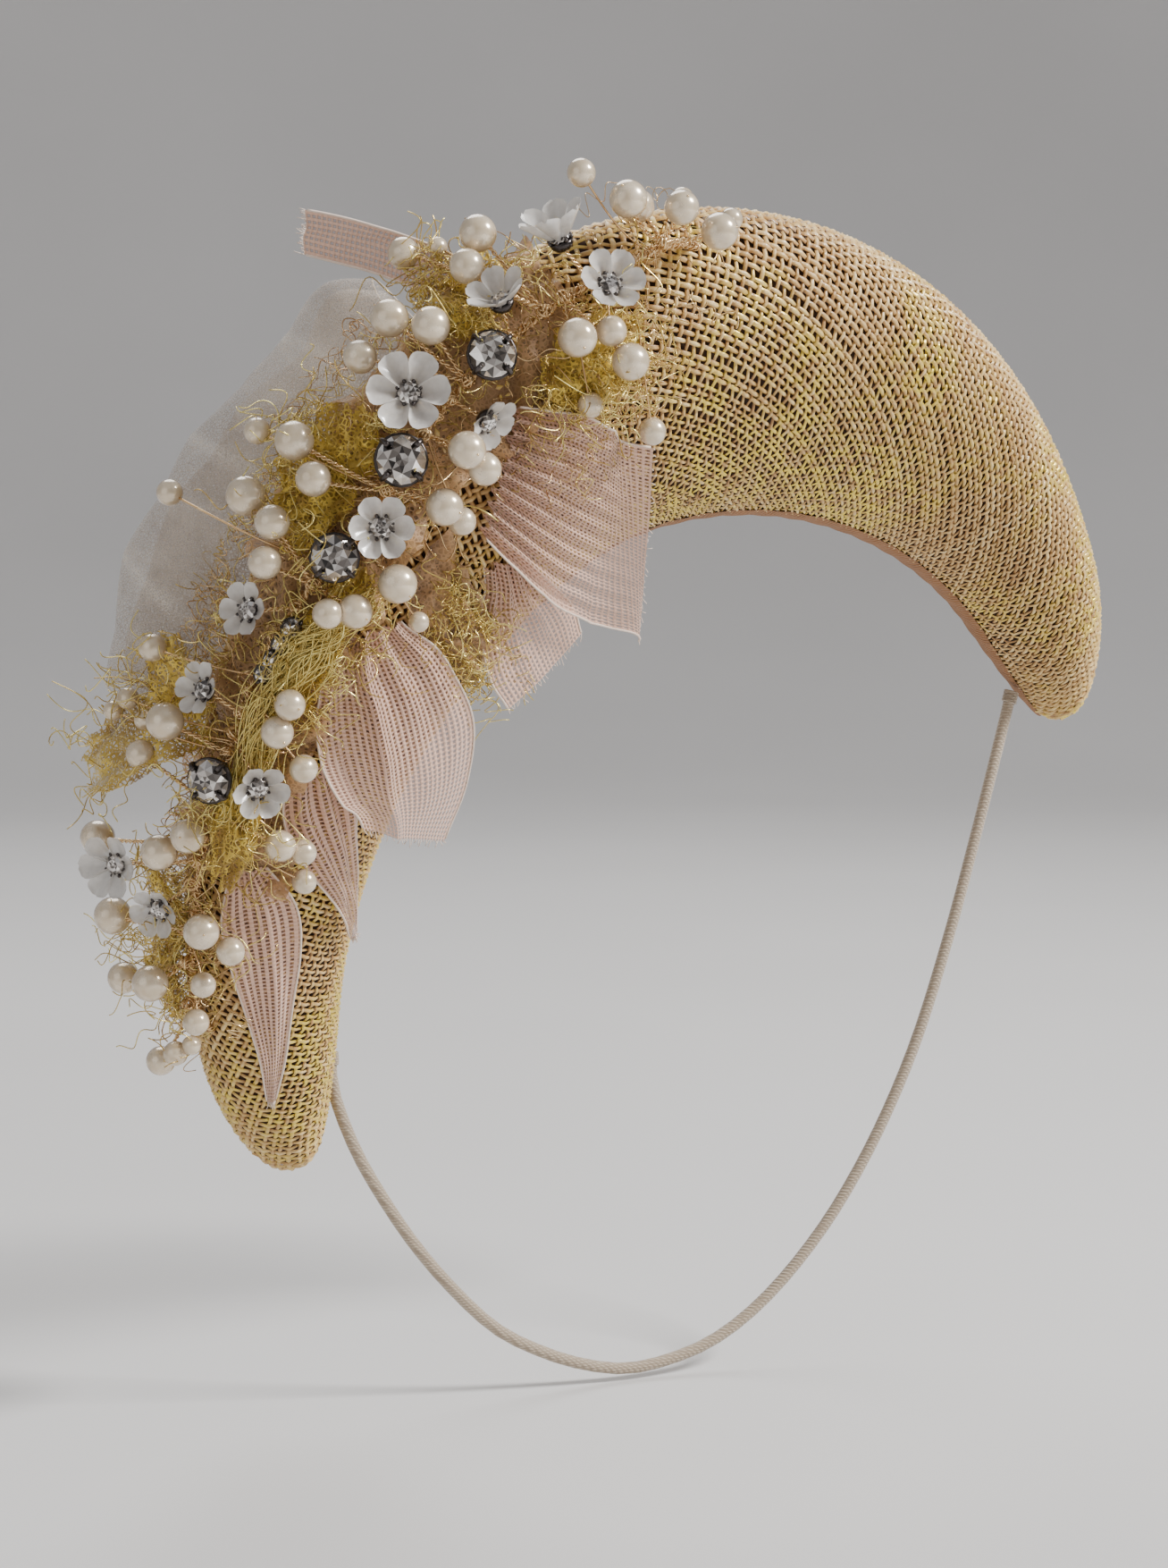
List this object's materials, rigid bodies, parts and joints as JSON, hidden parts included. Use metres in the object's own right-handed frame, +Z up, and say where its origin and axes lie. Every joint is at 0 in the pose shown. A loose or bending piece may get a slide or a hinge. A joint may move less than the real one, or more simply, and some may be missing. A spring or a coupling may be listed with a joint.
{
  "type": "halo headband fascinator",
  "caption": "Padded crescent halo headband in open straw weave, with tulle and ribbon folds and a wired spray of pearls, flowers and crystals on one side, held by a thin elastic.",
  "frame": {"origin": "middle of the band's inner edge, the top of the arch where it sits on the head", "axes": "+Z up, -Y towards the wearer's front, +X towards the wearer's left, with the hat at the tilt it is worn at"},
  "size_m": [0.2336, 0.1047, 0.2358],
  "materials": {
    "straw_weave": "open plain weave of straw fibre with a metallic glint",
    "elastic": "matt round elastic",
    "tulle": "sheer gathered tulle",
    "ribbon": "ribbed sheer ribbon",
    "gold_mesh": "crumpled fine metallic mesh",
    "gold_wire": "polished fine wire",
    "pearl": "pearl lustre",
    "petal": "translucent satin",
    "crystal": "cut stone in a dark metal setting"
  },
  "bodies": {
    "root": {"crystal_1": "crystal", "crystal_2": "crystal", "crystal_3": "crystal", "crystal_4": "crystal", "crystal_strip": "crystal", "elastic_cord": "elastic", "flower_01": "petal", "flower_02": "petal", "flower_03": "petal", "flower_04": "petal", "flower_05": "petal", "flower_06": "petal", "flower_07": "petal", "flower_08": "petal", "flower_09": "petal", "flower_10": "petal", "flower_11": "petal", "gold_tuft_end": "gold_mesh", "gold_tuft_front": "gold_mesh", "gold_tuft_lower": "gold_mesh", "gold_tuft_middle": "gold_mesh", "gold_tuft_outer": "gold_mesh", "gold_tuft_side": "gold_mesh", "gold_tuft_top": "gold_mesh", "halo_band": "straw_weave", "pearl_spray_01": "pearl", "pearl_spray_02": "pearl", "pearl_spray_03": "pearl", "pearl_spray_04": "pearl", "pearl_spray_05": "pearl", "pearl_spray_06": "pearl", "pearl_spray_07": "pearl", "pearl_spray_08": "pearl", "pearl_spray_09": "pearl", "pearl_spray_10": "pearl", "pearl_spray_11": "pearl", "pearl_spray_12": "pearl", "pearl_spray_13": "pearl", "pearl_spray_14": "pearl", "pearl_spray_15": "pearl", "ribbon_cut_end": "ribbon", "ribbon_fan": "ribbon", "ribbon_loop": "ribbon", "ribbon_tail_long": "ribbon", "ribbon_tail_low": "ribbon", "ribbon_wide_tail": "ribbon", "tulle_base": "tulle", "tulle_puff": "tulle", "vine_stem": "gold_wire"}
  },
  "joints": []
}
